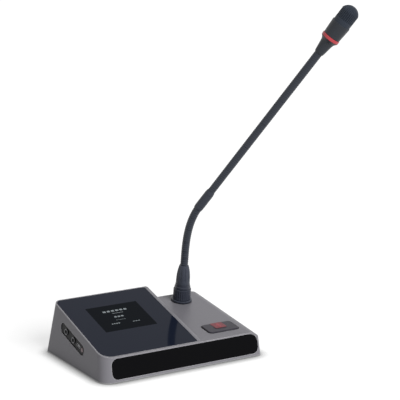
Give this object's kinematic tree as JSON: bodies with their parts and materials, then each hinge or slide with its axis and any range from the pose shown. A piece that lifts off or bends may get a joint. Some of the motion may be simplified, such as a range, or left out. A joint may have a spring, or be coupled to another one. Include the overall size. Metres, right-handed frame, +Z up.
{
  "type": "conference delegate unit",
  "caption": "Wedge-shaped desk housing with a glass-covered display, a talk button, side headphone jacks and a plug-in gooseneck microphone with a light ring.",
  "frame": {"origin": "on the table, under the middle of the housing, where the rubber pad rests", "axes": "+X the unit's right as its user sees it, +Y its back, +Z up; -Z is the way the pad faces"},
  "size_m": [0.296, 0.1776, 0.3855],
  "materials": {
    "housing_metal": "satin grey, fine blasted grain",
    "cover_plastic": "fine moulded texture",
    "rubber_pad": "matt",
    "steel_screw": "zinc plated",
    "screen_glass": "dark tinted, polished",
    "display_black": "liquid crystal display",
    "frame_plastic": "moulded",
    "fascia_black": "polished black",
    "strip_black": "fine matt",
    "jack_black": "moulded",
    "port_steel": "plated",
    "key_grey": "soft grey with a pink tint",
    "board_green": "solder mask",
    "chip_black": "moulded",
    "button_grey": "satin dark grey",
    "bezel_black": "fine matt",
    "lamp_red": "translucent red",
    "mic_metal": "dark blue-grey satin",
    "socket_metal": "nickel plated",
    "grip_rubber": "matt",
    "pin_brass": "gold plated",
    "neck_metal": "dark, spiral wound",
    "head_plastic": "satin",
    "capsule_metal": "plain"
  },
  "bodies": {
    "base": {"base_pad": "rubber_pad", "board_chips": "chip_black", "board_screws": "steel_screw", "bottom_cover": "cover_plastic", "button_bezel": "bezel_black", "button_board": "board_green", "cover_screws": "steel_screw", "display_frame": "frame_plastic", "display_panel": "display_black", "frame_screws": "steel_screw", "front_fascia": "fascia_black", "glass_panel": "screen_glass", "headphone_jack_front": "jack_black", "headphone_jack_rear": "jack_black", "main_board": "board_green", "mic_socket_body": "socket_metal", "mic_socket_flange": "mic_metal", "rear_socket_in": "jack_black", "rear_socket_out": "jack_black", "service_port": "port_steel", "side_board": "board_green", "side_port_strip": "strip_black", "side_switch": "chip_black", "socket_nut": "socket_metal", "talk_switch": "chip_black", "top_housing": "housing_metal"},
    "talk_button": {"talk_button": "button_grey", "button_lamp": "lamp_red", "switch_plunger": "chip_black"},
    "side_key": {"side_key": "key_grey"},
    "mic_plug": {"plug_body": "mic_metal", "plug_pins": "pin_brass", "plug_grip": "grip_rubber", "lower_neck_1": "neck_metal"},
    "lock_ring": {"lock_ring": "mic_metal"},
    "lower_link_2": {"lower_neck_2": "neck_metal"},
    "lower_link_3": {"lower_neck_3": "neck_metal"},
    "lower_link_4": {"lower_neck_4": "neck_metal"},
    "lower_link_5": {"lower_neck_5": "neck_metal"},
    "lower_link_6": {"lower_neck_6": "neck_metal"},
    "mid_link": {"lower_neck_7": "neck_metal", "coupling_sleeve": "mic_metal", "upper_neck_1": "neck_metal"},
    "upper_link_2": {"upper_neck_2": "neck_metal"},
    "upper_link_3": {"upper_neck_3": "neck_metal"},
    "upper_link_4": {"upper_neck_4": "neck_metal"},
    "upper_link_5": {"upper_neck_5": "neck_metal"},
    "upper_link_6": {"upper_neck_6": "neck_metal"},
    "head": {"upper_neck_7": "neck_metal", "head_cone": "head_plastic", "light_ring": "lamp_red", "head_body": "head_plastic", "grille_cap": "head_plastic", "mic_capsule": "capsule_metal"}
  },
  "joints": [
    {"name": "talk_button_press", "type": "slide", "parent": "base", "child": "talk_button", "axis": [0, 0.1335, -0.9911], "range_m": [0, 0.0012], "stiffness_N_per_m": 1500, "springref_m": -0.0006},
    {"name": "side_key_press", "type": "slide", "parent": "base", "child": "side_key", "axis": [0.9976, 0, -0.0698], "range_m": [0, 0.0005], "stiffness_N_per_m": 2500, "springref_m": -0.0003},
    {"name": "mic_plug_pull", "type": "slide", "parent": "base", "child": "mic_plug", "axis": [0, -0.1335, 0.9911], "range_m": [0, 0.014]},
    {"name": "lock_ring_turn", "type": "hinge", "parent": "mic_plug", "child": "lock_ring", "pos_m": [0.0597, 0.03958, 0.04192], "axis": [0, -0.1335, 0.9911], "range_deg": [0, 360]},
    {"name": "lower_swing_1", "type": "hinge", "parent": "mic_plug", "child": "lower_link_2", "pos_m": [0.0597, 0.03299, 0.09083], "axis": [0.809, -0.5825, -0.0784], "range_deg": [-16, 16]},
    {"name": "lower_swing_2", "type": "hinge", "parent": "lower_link_2", "child": "lower_link_3", "pos_m": [0.0597, 0.03196, 0.09846], "axis": [0.809, -0.5825, -0.0784], "range_deg": [-16, 16]},
    {"name": "lower_bend_1", "type": "hinge", "parent": "lower_link_3", "child": "lower_link_4", "pos_m": [0.0597, 0.03094, 0.10609], "axis": [0.5878, 0.8018, 0.108], "range_deg": [-20, 4.4]},
    {"name": "lower_bend_2", "type": "hinge", "parent": "lower_link_4", "child": "lower_link_5", "pos_m": [0.06038, 0.02841, 0.12117], "axis": [0.5878, 0.8018, 0.108], "range_deg": [-20, 4.4]},
    {"name": "lower_bend_3", "type": "hinge", "parent": "lower_link_5", "child": "lower_link_6", "pos_m": [0.06242, 0.02492, 0.13593], "axis": [0.5878, 0.8018, 0.108], "range_deg": [-20, 4.4]},
    {"name": "lower_bend_4", "type": "hinge", "parent": "lower_link_6", "child": "mid_link", "pos_m": [0.06644, 0.0201, 0.14988], "axis": [0.5878, 0.8018, 0.108], "range_deg": [-20, 4.4]},
    {"name": "upper_bend_1", "type": "hinge", "parent": "mid_link", "child": "upper_link_2", "pos_m": [0.0859, 0.00087, 0.18674], "axis": [0.5878, 0.8018, 0.108], "range_deg": [-18, 18]},
    {"name": "upper_swing_1", "type": "hinge", "parent": "upper_link_2", "child": "upper_link_3", "pos_m": [0.09989, -0.01295, 0.21324], "axis": [0.6891, -0.4262, -0.5861], "range_deg": [-18, 18]},
    {"name": "upper_bend_2", "type": "hinge", "parent": "upper_link_3", "child": "upper_link_4", "pos_m": [0.11388, -0.02678, 0.23974], "axis": [0.5878, 0.8018, 0.108], "range_deg": [-18, 18]},
    {"name": "upper_bend_3", "type": "hinge", "parent": "upper_link_4", "child": "upper_link_5", "pos_m": [0.12787, -0.0406, 0.26623], "axis": [0.5878, 0.8018, 0.108], "range_deg": [-18, 18]},
    {"name": "upper_swing_2", "type": "hinge", "parent": "upper_link_5", "child": "upper_link_6", "pos_m": [0.14186, -0.05443, 0.29273], "axis": [0.6891, -0.4262, -0.5861], "range_deg": [-18, 18]},
    {"name": "upper_bend_4", "type": "hinge", "parent": "upper_link_6", "child": "head", "pos_m": [0.15585, -0.06825, 0.31923], "axis": [0.5878, 0.8018, 0.108], "range_deg": [-18, 18]}
  ],
  "couplings": [
    {"joint": "lower_swing_2", "follows": "lower_swing_1", "ratio": 1},
    {"joint": "lower_bend_2", "follows": "lower_bend_1", "ratio": 1},
    {"joint": "lower_bend_3", "follows": "lower_bend_1", "ratio": 1},
    {"joint": "lower_bend_4", "follows": "lower_bend_1", "ratio": 1},
    {"joint": "upper_bend_2", "follows": "upper_bend_1", "ratio": 1},
    {"joint": "upper_bend_3", "follows": "upper_bend_1", "ratio": 1},
    {"joint": "upper_swing_2", "follows": "upper_swing_1", "ratio": 1},
    {"joint": "upper_bend_4", "follows": "upper_bend_1", "ratio": 1}
  ]
}
